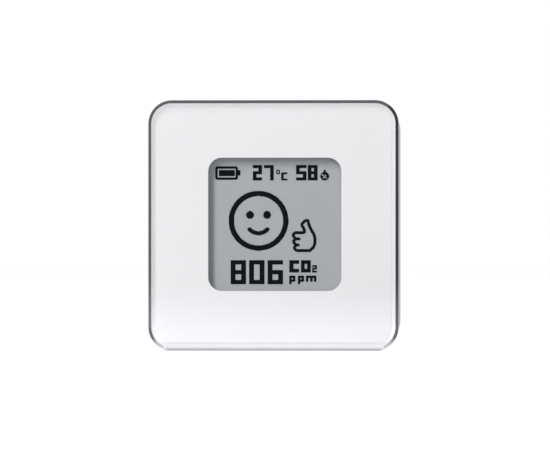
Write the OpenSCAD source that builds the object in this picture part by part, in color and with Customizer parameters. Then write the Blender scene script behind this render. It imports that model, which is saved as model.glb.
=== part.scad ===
// Air quality monitor: a square desk and wall instrument that shows CO2, temperature and humidity.
// +Z is up, the display faces -Y, and the origin is the middle of the base.
// Depths are counted from the front of the clear plate towards the back.

/* [Front plate] */
// Width of the clear plate and of the body behind it
plate_w = 56; // [56:0.5:70]
// Height of the clear plate and of the body behind it
plate_h = 56; // [56:0.5:70]
// Thickness of the clear plate
plate_t = 3; // [2:0.1:4]
// Corner radius of the clear plate
plate_corner_r = 5.3; // [4:0.1:6.6]
// Width of the polished chamfer round the plate's front edge
plate_chamfer = 0.7; // [0.3:0.05:0.9]
// Clear margin between the plate's edge and the white back print
clear_border = 1.65; // [0.8:0.05:2]
// Thickness of the white back print
print_t = 0.25; // [0.1:0.05:0.4]
// Side of the square window in the print
window = 29.85; // [27:0.05:30.3]
// Corner radius of the window
window_r = 3.1; // [1:0.1:5]
// Window centre to the right of the plate's centre
window_x = 0.25; // [-0.4:0.05:0.4]
// Window centre above the plate's centre
window_rise = 0.25; // [-0.5:0.05:1]

/* [Display] */
// Width of the display glass
panel_w = 31.8; // [31.6:0.1:33]
// Height of the display glass
panel_h = 37.32; // [36:0.01:38]
// Thickness of the display glass
glass_t = 0.75; // [0.5:0.05:1]
// Side of the square display film on the glass
film_side = 31.2; // [30.9:0.1:31.6]
// Thickness of the display film
film_t = 0.3; // [0.2:0.05:0.5]
// Glass left bare above the film
film_top_rim = 0.3; // [0.1:0.05:0.6]
// Thickness of the foam gasket, pressed
gasket_t = 0.4; // [0.2:0.05:0.8]
// Width of the foam gasket round the frame's opening
gasket_rim = 0.6; // [0.4:0.05:0.9]
// How far the frame's opening stands back from the window in the print
window_lip = 0.3; // [0.1:0.05:0.6]
// Gap between the display glass and the fence round it
display_fit = 0.2; // [0.1:0.05:0.4]
// Thickness of the fence that locates the display glass
fence_t = 0.8; // [0.6:0.1:1.2]
// Height of that fence
fence_h = 1.2; // [0.8:0.1:1.4]
// Width of the display ribbon
flex_w = 12; // [8:0.5:16]
// Thickness of the display ribbon
flex_t = 0.2; // [0.1:0.05:0.3]
// Length of the ribbon bonded to the glass
flex_bond = 2.5; // [1.5:0.1:4]
// How far the ribbon runs past the glass before it turns
flex_overhang = 0.3; // [0.1:0.1:1]
// Distance of the ribbon's return run in front of the board
flex_drop = 0.35; // [0.3:0.05:0.5]
// Length of the ribbon's return run
flex_tail = 3.5; // [2.5:0.1:5]
// Length of ribbon held in the connector
flex_grip = 1.5; // [1:0.1:2]
// Height of the ribbon's connector
connector_h = 3; // [2.5:0.1:4]
// Thickness of the ribbon's connector
connector_t = 1; // [0.8:0.1:1.2]
// Width of the connector beyond the ribbon on each side
connector_rim = 1.5; // [1:0.1:2]
// Gap between the ribbon and the connector's slot
connector_fit = 0.05; // [0.03:0.01:0.1]

/* [Body] */
// Corner radius of the body
body_corner_r = 6.7; // [6:0.1:8]
// Thickness of the side walls
wall = 1.8; // [1.5:0.1:2]
// Thickness of the frame's front wall
frame_wall = 1.6; // [1.2:0.1:2.2]
// Depth of the frame's skirt behind its front wall
skirt = 4.15; // [3.6:0.05:4.5]
// Thickness of the back wall
back_wall = 2; // [1.6:0.1:2.6]
// Radius of the rounded back edge
back_fillet = 1.5; // [0.5:0.1:2]
// Height of the lip that locates the two shells
lip_h = 1.5; // [0.8:0.1:2]
// Thickness of that lip
lip_t = 0.8; // [0.6:0.05:1]
// Length of the lip's root behind the seam
lip_root = 1; // [0.6:0.1:1.2]
// Gap between the lip and the skirt
lip_fit = 0.1; // [0.05:0.05:0.2]
// Width of the chamfer that marks the seam between the two shells
seam_chamfer = 0.25; // [0.1:0.05:0.5]

/* [Boards] */
// Gap between the display glass and the main board
board_gap = 1.7; // [1.5:0.1:2.5]
// Thickness of the main board
board_t = 1.2; // [0.8:0.1:1.6]
// Gap between the main board and the lip round it
board_fit = 0.2; // [0.1:0.05:0.5]
// Radius of the board's bosses
board_boss_r = 2; // [1.6:0.1:2.4]
// Board boss centres from the body's sides
board_boss_side = 6.5; // [6:0.1:7.5]
// Lower board bosses above the base
board_boss_low = 6.5; // [6.2:0.1:8]
// Upper board bosses below the top
board_boss_top = 12.5; // [12:0.1:16]
// Length of the radio module
radio_w = 13; // [10:0.5:13.5]
// Height of the radio module
radio_h = 6.8; // [5:0.1:8]
// Thickness of the radio module with its can
radio_t = 2.2; // [1.6:0.1:2.4]
// Thickness of the radio module's carrier
radio_carrier_t = 0.8; // [0.6:0.1:1]
// Carrier left bare round the can
radio_rim = 0.4; // [0.2:0.1:0.6]
// Carrier left bare under the antenna
radio_antenna = 3.5; // [2:0.5:5]
// Distance of the radio module left of the centre
radio_x = 5.6; // [5:0.1:6]
// Side of the humidity sensor
humidity_side = 2.5; // [2:0.1:3]
// Height of the humidity sensor above the board
humidity_t = 0.9; // [0.6:0.1:1.2]
// Distance of the humidity sensor from the board's edge
humidity_inset = 1; // [0.5:0.1:1.5]

/* [Carbon dioxide sensor] */
// Width of the sensor's base board
sensor_w = 30; // [29:0.5:32]
// Height of the sensor's base board
sensor_h = 15.6; // [14:0.1:20]
// Thickness of the sensor's base board
sensor_t = 1.2; // [0.8:0.1:1.6]
// Space between the main board and the sensor's base board
sensor_standoff = 2.6; // [2.5:0.1:3]
// Space between the battery bay and the sensor's base board
sensor_gap = 0.9; // [0.3:0.1:2]
// Radius of the sensor's pins
pin_r = 0.32; // [0.25:0.01:0.4]
// Spacing of the sensor's pins
pin_pitch = 2.54; // [2:0.01:2.6]
// Pins on each side of the sensor
pin_count = 5; // [3:1:5]
// Distance of the pins from the base board's ends
pin_inset = 1.2; // [1:0.1:1.4]
// Width of the optical cell
cell_block_w = 24; // [20:0.5:25]
// Height of the optical cell
cell_block_h = 11; // [9:0.5:13]
// Depth of the optical cell
cell_block_t = 7; // [5:0.1:8]
// Corner radius of the optical cell
cell_block_r = 2; // [0.5:0.1:4]
// Thickness of the filter membrane on the optical cell
filter_t = 0.4; // [0.2:0.05:0.6]
// Margin of the optical cell left bare round the filter
filter_rim = 2.5; // [1.5:0.1:3]
// Corner radius of the filter
filter_r = 1.5; // [0.5:0.1:2]

/* [Battery bay] */
// Diameter of a battery cell
cell_d = 10.5; // [9.5:0.1:10.8]
// Length of a battery cell with its button
cell_len = 44.5; // [43.5:0.1:44.9]
// Height of a cell's button
cell_button_h = 1; // [0.8:0.1:1.4]
// Radius of a cell's button
cell_button_r = 1.9; // [1.5:0.1:1.9]
// Gap between the two cells
cell_gap = 0.4; // [0.2:0.1:0.8]
// Gap between a cell and the bay's walls
cell_fit = 0.25; // [0.1:0.05:0.4]
// Gap between a cell and the bay's floor
cell_bed = 0.3; // [0.2:0.05:0.6]
// Gap between a cell and the door
cell_cover = 0.4; // [0.2:0.05:0.8]
// Thickness of the bay's floor
floor_t = 1; // [0.8:0.1:1.4]
// Space between the main board and the bay's floor
floor_gap = 1; // [0.9:0.1:1.6]
// Thickness of the bay's top wall
bay_wall = 1.2; // [0.8:0.1:1.4]
// Thickness of the bay's sill on the bottom wall
bay_sill = 1.4; // [1:0.1:1.6]
// Thickness of the contact plates
contact_t = 0.4; // [0.3:0.05:0.5]
// Height of the contact plates above the bay's floor
contact_h = 10.3; // [8:0.1:10.8]
// Edge of a contact plate inside the width of its cell
contact_rim = 0.6; // [0.3:0.1:1.5]
// Width of the contacts' tails
tail_w = 3; // [2:0.1:4]
// Gap round a tail in the bay's floor
tail_fit = 0.2; // [0.1:0.05:0.4]
// Height of the raised pad that meets a cell's button
pad_h = 0.7; // [0.5:0.05:0.9]
// Working length of a contact spring
spring_len = 4; // [3.6:0.1:4.4]
// Radius of a contact spring at its plate
spring_base_r = 3.6; // [3:0.1:4]
// Radius of a contact spring at the cell
spring_tip_r = 2; // [1.5:0.1:2.4]
// Wire diameter of a contact spring
spring_wire = 0.5; // [0.4:0.05:0.55]
// Curls in a contact spring
spring_curls = 3; // [3:1:3]

/* [Battery door] */
// Thickness of the door
door_t = 1.6; // [1.4:0.1:2]
// Thickness of the door's rails
rail_t = 0.8; // [0.6:0.05:0.9]
// Reach of the rails beyond the bay's opening
rail_reach = 0.8; // [0.5:0.05:0.9]
// Gap round the door
door_fit = 0.1; // [0.05:0.05:0.2]
// Width of a finger groove in the door
grip_w = 0.9; // [0.6:0.1:1.2]
// Spacing of the finger grooves
grip_pitch = 2; // [1.5:0.1:3]
// Finger grooves in the door
grip_count = 5; // [3:1:7]
// Length of a finger groove
grip_len = 11; // [6:0.5:16]
// Distance of the first groove from the door's outer end
grip_inset = 5; // [3:0.1:8]

/* [Fasteners] */
// Thread radius of a case screw
case_screw_r = 0.95; // [0.8:0.05:1.1]
// Length of a case screw under its head
case_screw_len = 5; // [4:0.5:5.5]
// Head radius of a case screw
case_head_r = 1.75; // [1.5:0.05:1.85]
// Head height of a case screw
case_head_h = 1.2; // [0.9:0.1:1.3]
// Radius of the bosses that take the case screws
case_boss_r = 2.3; // [1.9:0.1:2.4]
// Upper case screws from the body's sides and top
case_screw_inset = 5.7; // [5.6:0.1:6.2]
// Lower case screws from the body's sides
case_screw_side = 5.7; // [5.6:0.1:9]
// Gap round a case screw's head in its well
case_well_fit = 0.25; // [0.15:0.05:0.4]
// Thickness of the upper screw wells
case_well_wall = 1.2; // [0.8:0.1:1.4]
// Thread radius of a board screw
board_screw_r = 0.75; // [0.6:0.05:0.9]
// Length of a board screw under its head
board_screw_len = 3; // [2.5:0.5:3.5]
// Head radius of a board screw
board_head_r = 1.4; // [1.2:0.1:1.6]
// Head height of a board screw
board_head_h = 0.8; // [0.6:0.1:0.8]
// Gap between a screw's thread and the pilot it cuts
pilot_fit = 0.05; // [0.02:0.01:0.1]
// Depth of a pilot beyond its screw's tip
pilot_spare = 0.5; // [0.2:0.1:0.8]
// Gap between a screw and a clearance hole
hole_fit = 0.15; // [0.1:0.05:0.3]

/* [Wall hanging] */
// Radius of a keyhole's entry
keyhole_r = 3.5; // [3:0.1:3.6]
// Width of a keyhole's slot
keyhole_slot = 3.6; // [2.6:0.1:3.8]
// Distance from entry to seat of a keyhole
keyhole_rise = 5; // [4:0.5:5.5]
// Keyhole entries from the body's sides
keyhole_side = 6.5; // [6.5:0.1:7]
// Keyhole entries below the top
keyhole_top = 17.5; // [16.5:0.5:20]
// Depth of the pocket behind a keyhole
keyhole_pocket = 4.2; // [3.5:0.1:4.5]
// Thickness of that pocket's walls
keyhole_wall = 1; // [0.8:0.1:1.2]
// Room in that pocket round the keyhole
keyhole_room = 0.5; // [0.2:0.1:0.6]

/* [Vents] */
// Width of an air slot
vent_w = 1.2; // [0.8:0.1:1.4]
// Spacing of the air slots
vent_pitch = 2.4; // [2:0.1:2.6]
// Length of the slots in the sides
vent_side_len = 5; // [3:0.5:5]
// Length of the slots in the top
vent_top_len = 8; // [5:0.5:9]
// Slots in each side
vent_side_count = 6; // [3:1:6]
// Slots in each group on the top
vent_top_count = 5; // [3:1:5]
// Middle of the side slots below the top
vent_side_top = 16; // [15.5:0.5:17]
// Middle of a top group from the centre
vent_top_x = 11; // [10.5:0.5:12]
// Thickness of the vent screens
screen_t = 0.25; // [0.15:0.05:0.4]
// Overlap of a screen round its slots
screen_rim = 0.6; // [0.3:0.1:0.8]
// Distance of the slots behind the lip's root
vent_setback = 1; // [0.9:0.1:1.5]

/* [Reset button] */
// Radius of the button's stem
button_r = 1.6; // [1.2:0.1:1.8]
// Running clearance round the stem
button_fit = 0.08; // [0.02:0.01:0.1]
// Reach of the flange beyond the stem
button_flange = 0.8; // [0.4:0.1:0.9]
// Thickness of the flange
button_flange_t = 1; // [0.6:0.1:1.2]
// Depth of the button's face below the top
button_recess = 0.3; // [0.1:0.05:0.6]
// Gap between the flange and the top wall
button_rest_gap = 0.1; // [0.05:0.05:0.2]
// Travel of the button
button_travel = 0.6; // [0.3:0.1:0.6]
// Distance of the button's axis behind the main board
button_axis = 3.4; // [3.4:0.1:4]
// Radius of the switch plunger
plunger_r = 0.9; // [0.7:0.05:1.1]
// Length of the plunger, half of it inside the switch
plunger_len = 1.5; // [1.2:0.1:1.8]
// Height of the tact switch
switch_h = 2.8; // [2.4:0.1:3]
// Width of the tact switch
switch_w = 4.8; // [4:0.1:6]
// Depth of the tact switch behind the button's axis
switch_behind = 1.2; // [1.2:0.1:2]
// Room under the plunger at the end of its travel
switch_room = 0.1; // [0.05:0.05:0.2]

/* [Hidden] */
$fn = 48;

// Overlap given to cuts so that they pass the faces they open
cut = 0.5;

// Depths, from the front of the plate
frame_front = plate_t + print_t;
frame_in = frame_front + frame_wall;
film_front = frame_in + gasket_t;
glass_front = film_front + film_t;
glass_rear = glass_front + glass_t;
board_front = glass_rear + board_gap;
board_rear = board_front + board_t;
seam = frame_in + skirt;
floor_front = board_rear + floor_gap;
bed = floor_front + floor_t;
cell_axis = bed + cell_bed + cell_d / 2;
door_in = cell_axis + cell_d / 2 + cell_cover;
depth = door_in + door_t;
back_in = depth - back_wall;

// Window and display, seen from the front
window_z = plate_h / 2 + window_rise;
frame_window = window + 2 * window_lip;
panel_top = window_z + film_side / 2 + film_top_rim;
panel_z = panel_top - panel_h / 2;
panel_low = panel_top - panel_h;
flex_back = board_front - flex_drop;
flex_bend_r = (flex_back - glass_front + flex_t) / 2;
flex_axis = flex_back - flex_bend_r;
flex_bend_z = panel_low - flex_overhang;
flex_end = flex_bend_z + flex_tail;
connector_low = flex_end - flex_grip;

// Inside of the shells
inner_w = plate_w - 2 * wall;
inner_h = plate_h - 2 * wall;
inner_r = body_corner_r - wall;
lip_out = lip_fit + lip_t;
board_inset = lip_out + board_fit;
board_w = inner_w - 2 * board_inset;
board_h = inner_h - 2 * board_inset;

// Battery bay
bay_half = (2 * contact_t + spring_len + cell_len + pad_h) / 2;
bay_low = wall + bay_sill;
cell_low_z = bay_low + cell_fit + cell_d / 2;
cell_high_z = cell_low_z + cell_d + cell_gap;
cells_mid_z = (cell_low_z + cell_high_z) / 2;
bay_top = cell_high_z + cell_d / 2 + cell_fit;
cell_end = bay_half - contact_t - spring_len;
cell_tip = bay_half - contact_t - pad_h;

// Fastener places, as [x, z]
case_bosses = [
    for (side = [-1, 1]) [side * (plate_w / 2 - case_screw_inset), plate_h - case_screw_inset],
    for (side = [-1, 1]) [side * (plate_w / 2 - case_screw_side), cells_mid_z]
];
board_bosses = [
    for (side = [-1, 1], z = [board_boss_low, plate_h - board_boss_top])
        [side * (plate_w / 2 - board_boss_side), z]
];
case_well_r = case_head_r + case_well_fit;

// Length and width of a screw's cross recess, as shares of its head's radius
recess_long = 1.1;
recess_wide = 0.3;

// Sensor, switch and button places
sensor_z = bay_top + bay_wall + sensor_gap + sensor_h / 2;
sensor_front = board_rear + sensor_standoff;
cell_block_front = sensor_front + sensor_t;
button_d = board_rear + button_axis;
flange_top = plate_h - wall - button_rest_gap;
plunger_top = flange_top - button_flange_t;
switch_top = plunger_top - plunger_len / 2;
switch_t = button_axis + switch_behind;

// Keyhole and vent places
keyhole_x = plate_w / 2 - keyhole_side;
keyhole_z = plate_h - keyhole_top;
pocket_half = keyhole_r + keyhole_room;
vent_front = seam + lip_root + vent_setback;
vent_side_z = plate_h - vent_side_top;

// Small parts on the main board under the sensor: [x, z from the sensor's centre, width, height, thickness]
small_parts = [
    [5, 2.5, 5, 5, 0.9],
    [4, -2.6, 2, 1.2, 0.8],
    [7, -2.6, 2, 1.2, 0.8],
    [10.5, 3, 3, 3, 1.2],
    [10.5, -2.4, 1.6, 2.6, 1]
];

// A flat outline in x and z drawn from one depth backwards
module layer(front, thick)
    translate([0, front + thick - depth / 2, 0])
        rotate([90, 0, 0])
            linear_extrude(thick) children();

// A round bar along the depth at a place [x, z]
module post(place, front, back, radius)
    translate([place[0], front - depth / 2, place[1]])
        rotate([-90, 0, 0]) cylinder(r = radius, h = back - front);

// A rectangle with round corners, centred
module rounded_rect(width, height, radius) {
    square([width, height - 2 * radius], center = true);
    square([width - 2 * radius, height], center = true);
    for (sx = [-1, 1], sz = [-1, 1])
        translate([sx * (width / 2 - radius), sz * (height / 2 - radius)]) circle(radius);
}

// Outline of the body, drawn in by an inset
module body_outline(inset = 0)
    translate([0, plate_h / 2])
        rounded_rect(plate_w - 2 * inset, plate_h - 2 * inset, body_corner_r - inset);

// A square with round corners at the window's centre
module window_outline(side, radius)
    translate([window_x, window_z]) rounded_rect(side, side, radius);

// Half section of a slab: chamfered at the front, rounded at the back
module edge_profile(reach, thick, chamfer, fillet) {
    polygon([[0, 0], [reach - chamfer, 0], [reach, chamfer], [reach, thick - fillet], [0, thick - fillet]]);
    if (fillet > 0) {
        translate([0, chamfer]) square([reach - fillet, thick - chamfer]);
        translate([reach - fillet, thick - fillet]) circle(fillet);
    }
}

// A bar with that section on both of its long sides
module edged_bar(reach, length, thick, chamfer, fillet)
    rotate([90, 0, 0])
        linear_extrude(length, center = true)
            for (side = [0, 1]) mirror([side, 0]) edge_profile(reach, thick, chamfer, fillet);

// A slab with round corners and that section all the way round
module slab(front, thick, corner, chamfer, fillet)
    translate([0, front - depth / 2, plate_h / 2]) rotate([-90, 0, 0]) {
        edged_bar(plate_w / 2, plate_h - 2 * corner, thick, chamfer, fillet);
        rotate([0, 0, 90]) edged_bar(plate_h / 2, plate_w - 2 * corner, thick, chamfer, fillet);
        for (sx = [-1, 1], sz = [-1, 1])
            translate([sx * (plate_w / 2 - corner), sz * (plate_h / 2 - corner), 0])
                rotate_extrude() edge_profile(corner, thick, chamfer, fillet);
    }

// A block between two [x, z] corners
module block(low, high, front, back)
    translate([low[0], front - depth / 2, low[1]])
        cube([high[0] - low[0], back - front, high[1] - low[1]]);

// A screw from the back: head on its seat, thread towards the front, cross recess
module screw(place, seat, head_r, head_h, thread_r, length)
    difference() {
        union() {
            post(place, seat, seat + head_h, head_r);
            post(place, seat - length, seat, thread_r);
        }
        for (turn = [0, 90])
            translate([place[0], seat + head_h - depth / 2, place[1]])
                rotate([0, turn, 0])
                    cube([head_r * recess_long, head_h, head_r * recess_wide], center = true);
    }

module front_plate()
    color([0.9, 0.94, 0.95, 0.35]) slab(0, plate_t, plate_corner_r, plate_chamfer, 0);

module plate_print()
    color("white")
        layer(plate_t, print_t) difference() {
            translate([0, plate_h / 2])
                rounded_rect(plate_w - 2 * clear_border, plate_h - 2 * clear_border,
                             plate_corner_r - clear_border);
            window_outline(window, window_r);
        }

module front_frame()
    color("whitesmoke")
        difference() {
            union() {
                difference() {
                    layer(frame_front, seam - frame_front) body_outline();
                    layer(frame_in, seam - frame_in + cut) body_outline(wall);
                }
                difference() {
                    layer(frame_in, fence_h)
                        translate([window_x, panel_z])
                            square([panel_w + 2 * (display_fit + fence_t),
                                    panel_h + 2 * (display_fit + fence_t)], center = true);
                    layer(frame_in, fence_h + cut)
                        translate([window_x, panel_z])
                            square([panel_w + 2 * display_fit, panel_h + 2 * display_fit], center = true);
                    layer(frame_in, fence_h + cut)
                        translate([window_x, panel_low])
                            square([flex_w + 2 * fence_t, 4 * (display_fit + fence_t)], center = true);
                }
                for (place = board_bosses) post(place, frame_in, board_front, board_boss_r);
                for (place = case_bosses) post(place, frame_in, floor_front, case_boss_r);
            }
            layer(frame_front - cut, frame_wall + 2 * cut)
                window_outline(frame_window, window_r + window_lip);
            for (place = board_bosses)
                post(place, board_rear - board_screw_len - pilot_spare, board_front + cut,
                     board_screw_r + pilot_fit);
            for (place = case_bosses)
                post(place, bed - case_screw_len - pilot_spare, floor_front + cut, case_screw_r + pilot_fit);
        }

module display_gasket()
    color("dimgray")
        layer(frame_in, gasket_t) difference() {
            window_outline(frame_window + 2 * gasket_rim, window_r + window_lip + gasket_rim);
            window_outline(frame_window, window_r + window_lip);
        }

module display_film()
    color([0.67, 0.69, 0.69])
        layer(film_front, film_t)
            translate([window_x, window_z]) square(film_side, center = true);

module display_panel()
    color([0.75, 0.82, 0.82])
        layer(glass_front, glass_t)
            translate([window_x, panel_z]) square([panel_w, panel_h], center = true);

// The ribbon leaves the glass at its lower ledge and turns back to the connector on the board
module display_flex()
    color("darkorange")
        translate([window_x - flex_w / 2, -depth / 2, 0]) {
            translate([0, glass_front - flex_t, flex_bend_z])
                cube([flex_w, flex_t, panel_low + flex_bond - flex_bend_z]);
            translate([0, flex_back - flex_t, flex_bend_z])
                cube([flex_w, flex_t, flex_tail]);
            intersection() {
                translate([0, flex_axis, flex_bend_z])
                    rotate([0, 90, 0]) difference() {
                        cylinder(r = flex_bend_r, h = flex_w);
                        translate([0, 0, -cut]) cylinder(r = flex_bend_r - flex_t, h = flex_w + 2 * cut);
                    }
                translate([-cut, 0, flex_bend_z - 2 * flex_bend_r])
                    cube([flex_w + 2 * cut, depth, 2 * flex_bend_r]);
            }
        }

module flex_connector()
    color("ivory")
        difference() {
            block([window_x - flex_w / 2 - connector_rim, connector_low],
                  [window_x + flex_w / 2 + connector_rim, connector_low + connector_h],
                  board_front - connector_t, board_front);
            block([window_x - flex_w / 2 - connector_fit, connector_low - cut],
                  [window_x + flex_w / 2 + connector_fit, flex_end + connector_fit],
                  flex_back - flex_t - connector_fit, flex_back + connector_fit);
        }

module main_board()
    color("darkgreen")
        layer(board_front, board_t) difference() {
            translate([0, plate_h / 2])
                rounded_rect(board_w, board_h, inner_r - board_inset);
            for (place = case_bosses) translate(place) circle(case_boss_r + hole_fit);
            for (place = board_bosses) translate(place) circle(board_screw_r + hole_fit);
        }

module board_components()
    color([0.16, 0.16, 0.17])
        for (part = small_parts)
            block([part[0] - part[2] / 2, sensor_z + part[1] - part[3] / 2],
                  [part[0] + part[2] / 2, sensor_z + part[1] + part[3] / 2],
                  board_rear, board_rear + part[4]);

module radio_module()
    color("silver") {
        block([-radio_x - radio_w / 2, sensor_z - radio_h / 2],
              [-radio_x + radio_w / 2, sensor_z + radio_h / 2],
              board_rear, board_rear + radio_carrier_t);
        block([-radio_x - radio_w / 2 + radio_rim, sensor_z - radio_h / 2 + radio_rim],
              [-radio_x + radio_w / 2 - radio_antenna, sensor_z + radio_h / 2 - radio_rim],
              board_rear + radio_carrier_t, board_rear + radio_t);
    }

module board_screws()
    color("gray")
        for (place = board_bosses)
            screw(place, board_rear, board_head_r, board_head_h, board_screw_r, board_screw_len);

module co2_board()
    color("darkgreen")
        block([-sensor_w / 2, sensor_z - sensor_h / 2], [sensor_w / 2, sensor_z + sensor_h / 2],
              sensor_front, cell_block_front);

module co2_pins()
    color("gold")
        for (side = [-1, 1], step = [0 : pin_count - 1])
            post([side * (sensor_w / 2 - pin_inset), sensor_z + (step - (pin_count - 1) / 2) * pin_pitch],
                 board_rear, sensor_front, pin_r);

module co2_cell()
    color("goldenrod")
        layer(cell_block_front, cell_block_t)
            translate([0, sensor_z]) rounded_rect(cell_block_w, cell_block_h, cell_block_r);

module co2_filter()
    color("white")
        layer(cell_block_front + cell_block_t, filter_t)
            translate([0, sensor_z])
                rounded_rect(cell_block_w - 2 * filter_rim, cell_block_h - 2 * filter_rim, filter_r);

module humidity_sensor() {
    low_x = humidity_inset - board_w / 2;
    low_z = vent_side_z - humidity_side;
    color("white")
        difference() {
            block([low_x, low_z], [low_x + humidity_side, vent_side_z],
                  board_rear, board_rear + humidity_t);
            post([low_x + humidity_side / 2, low_z + humidity_side / 2],
                 board_rear + humidity_t / 2, board_rear + humidity_t + cut, humidity_side / 4);
        }
}

module tact_switch()
    color([0.2, 0.2, 0.2])
        difference() {
            block([-switch_w / 2, switch_top - switch_h], [switch_w / 2, switch_top],
                  board_rear, board_rear + switch_t);
            translate([0, button_d - depth / 2, switch_top - plunger_len / 2 - button_travel - switch_room])
                cylinder(r = plunger_r + button_fit, h = plunger_len + button_travel);
        }

module switch_plunger()
    color("black")
        translate([0, button_d - depth / 2, plunger_top - plunger_len])
            cylinder(r = plunger_r, h = plunger_len);

module reset_button()
    color("lightgray")
        translate([0, button_d - depth / 2, plunger_top]) {
            cylinder(r = button_r + button_flange, h = button_flange_t);
            cylinder(r = button_r, h = plate_h - button_recess - plunger_top);
        }

// Outer form of the two shells behind the plate
module housing_form() slab(seam, depth - seam, body_corner_r, seam_chamfer, back_fillet);

// Screw-head hole of a keyhole and the slot above it
module keyhole(place, front, back) {
    post(place, front, back, keyhole_r);
    post([place[0], place[1] + keyhole_rise], front, back, keyhole_slot / 2);
    block([place[0] - keyhole_slot / 2, place[1]], [place[0] + keyhole_slot / 2, place[1] + keyhole_rise],
          front, back);
}

// Walled pocket that keeps a wall screw's head away from the boards
module keyhole_box(place, grow, front, back)
    block([place[0] - pocket_half - grow, place[1] - pocket_half - grow],
          [place[0] + pocket_half + grow, place[1] + keyhole_rise + pocket_half + grow], front, back);

module vent_slots() {
    for (side = [-1, 1], step = [0 : vent_side_count - 1])
        translate([side * (plate_w - wall) / 2, vent_front + vent_side_len / 2 - depth / 2,
                   vent_side_z + (step - (vent_side_count - 1) / 2) * vent_pitch])
            cube([wall + 2 * cut, vent_side_len, vent_w], center = true);
    for (side = [-1, 1], step = [0 : vent_top_count - 1])
        translate([side * vent_top_x + (step - (vent_top_count - 1) / 2) * vent_pitch,
                   vent_front + vent_top_len / 2 - depth / 2, plate_h - wall / 2])
            cube([vent_w, vent_top_len, wall + 2 * cut], center = true);
}

module rear_housing()
    color("whitesmoke")
        difference() {
            union() {
                difference() {
                    housing_form();
                    layer(seam - cut, back_in - seam + cut) body_outline(wall);
                }
                layer(seam - lip_h, lip_h + lip_root) difference() {
                    body_outline(wall + lip_fit);
                    body_outline(wall + lip_out);
                }
                layer(seam, lip_root) difference() {
                    body_outline(wall / 2);
                    body_outline(wall + lip_out);
                }
                intersection() {
                    block([-plate_w / 2, 0], [plate_w / 2, bay_top + bay_wall], floor_front, back_in + cut);
                    layer(seam, depth - seam) body_outline(wall / 2);
                }
                intersection() {
                    union() {
                        for (place = [case_bosses[0], case_bosses[1]])
                            post(place, floor_front, back_in + cut, case_well_r + case_well_wall);
                        for (side = [-1, 1])
                            keyhole_box([side * keyhole_x, keyhole_z], keyhole_wall,
                                        back_in - keyhole_pocket - keyhole_wall, back_in + cut);
                    }
                    layer(seam, depth - seam) body_outline(wall / 2);
                }
            }
            block([-bay_half, bay_low], [bay_half, bay_top], bed, depth + cut);
            block([-bay_half, bay_low], [plate_w / 2 + cut, bay_top], door_in, depth + cut);
            block([-bay_half - door_fit, bay_low - rail_reach - door_fit],
                  [plate_w / 2 + cut, bay_top + rail_reach + door_fit],
                  door_in - door_fit, door_in + rail_t + door_fit);
            for (place = case_bosses) {
                post(place, floor_front - cut, bed + cut, case_screw_r + hole_fit);
                post(place, bed, depth + cut, case_well_r);
            }
            for (side = [-1, 1]) {
                keyhole([side * keyhole_x, keyhole_z], back_in - cut, depth + cut);
                keyhole_box([side * keyhole_x, keyhole_z], 0, back_in - keyhole_pocket, back_in);
            }
            for (z = [cell_low_z, cell_high_z])
                block([-bay_half, z - tail_w / 2 - tail_fit],
                      [-bay_half + contact_t + tail_fit, z + tail_w / 2 + tail_fit],
                      floor_front - cut, bed + cut);
            vent_slots();
            translate([0, button_d - depth / 2, plate_h - wall - cut])
                cylinder(r = button_r + button_fit, h = wall + 2 * cut);
        }

// Screens of fine mesh glued inside the walls, over the air slots
module vent_screens() {
    side_half = (vent_side_count - 1) / 2 * vent_pitch + vent_w / 2 + screen_rim;
    top_half = (vent_top_count - 1) / 2 * vent_pitch + vent_w / 2 + screen_rim;
    color("gray") {
        for (side = [-1, 1])
            translate([side * (inner_w - screen_t) / 2,
                       vent_front + vent_side_len / 2 - depth / 2, vent_side_z])
                cube([screen_t, vent_side_len + 2 * screen_rim, 2 * side_half], center = true);
        for (side = [-1, 1])
            translate([side * vent_top_x, vent_front + vent_top_len / 2 - depth / 2,
                       plate_h - wall - screen_t / 2])
                cube([2 * top_half, vent_top_len + 2 * screen_rim, screen_t], center = true);
    }
}

// A cell lying along x with its flat end at one side: -1 is the left
module battery(flat_side, z)
    translate([0, cell_axis - depth / 2, z])
        mirror([flat_side > 0 ? 1 : 0, 0, 0])
            translate([-cell_end, 0, 0])
                rotate([0, 90, 0]) {
                    cylinder(r = cell_d / 2, h = cell_len - cell_button_h);
                    cylinder(r = cell_button_r, h = cell_len);
                }

module battery_lower() color("steelblue") battery(-1, cell_low_z);

module battery_upper() color("steelblue") battery(1, cell_high_z);

// A contact plate at one end of the bay, across the cells from z low to z high
module contact_plate(side, z_low, z_high)
    block([side > 0 ? bay_half - contact_t : -bay_half, z_low - cell_d / 2 + contact_rim],
          [side > 0 ? bay_half : -bay_half + contact_t, z_high + cell_d / 2 - contact_rim],
          bed, bed + contact_h);

// The raised pad that meets a cell's button
module contact_pad(side, z)
    translate([side > 0 ? cell_tip : -bay_half, cell_axis - depth / 2, z])
        rotate([0, 90, 0]) cylinder(r = cell_button_r, h = pad_h + contact_t);

// The tail that goes through the bay's floor to the main board
module contact_tail(z)
    block([-bay_half, z - tail_w / 2], [-bay_half + contact_t, z + tail_w / 2], board_rear, bed + cut);

module contact_bridge()
    color("silver") {
        contact_plate(1, cell_low_z, cell_high_z);
        contact_pad(1, cell_low_z);
    }

module contact_negative()
    color("silver") {
        contact_plate(-1, cell_low_z, cell_low_z);
        contact_tail(cell_low_z);
    }

module contact_positive()
    color("silver") {
        contact_plate(-1, cell_high_z, cell_high_z);
        contact_pad(-1, cell_high_z);
        contact_tail(cell_high_z);
    }

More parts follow.
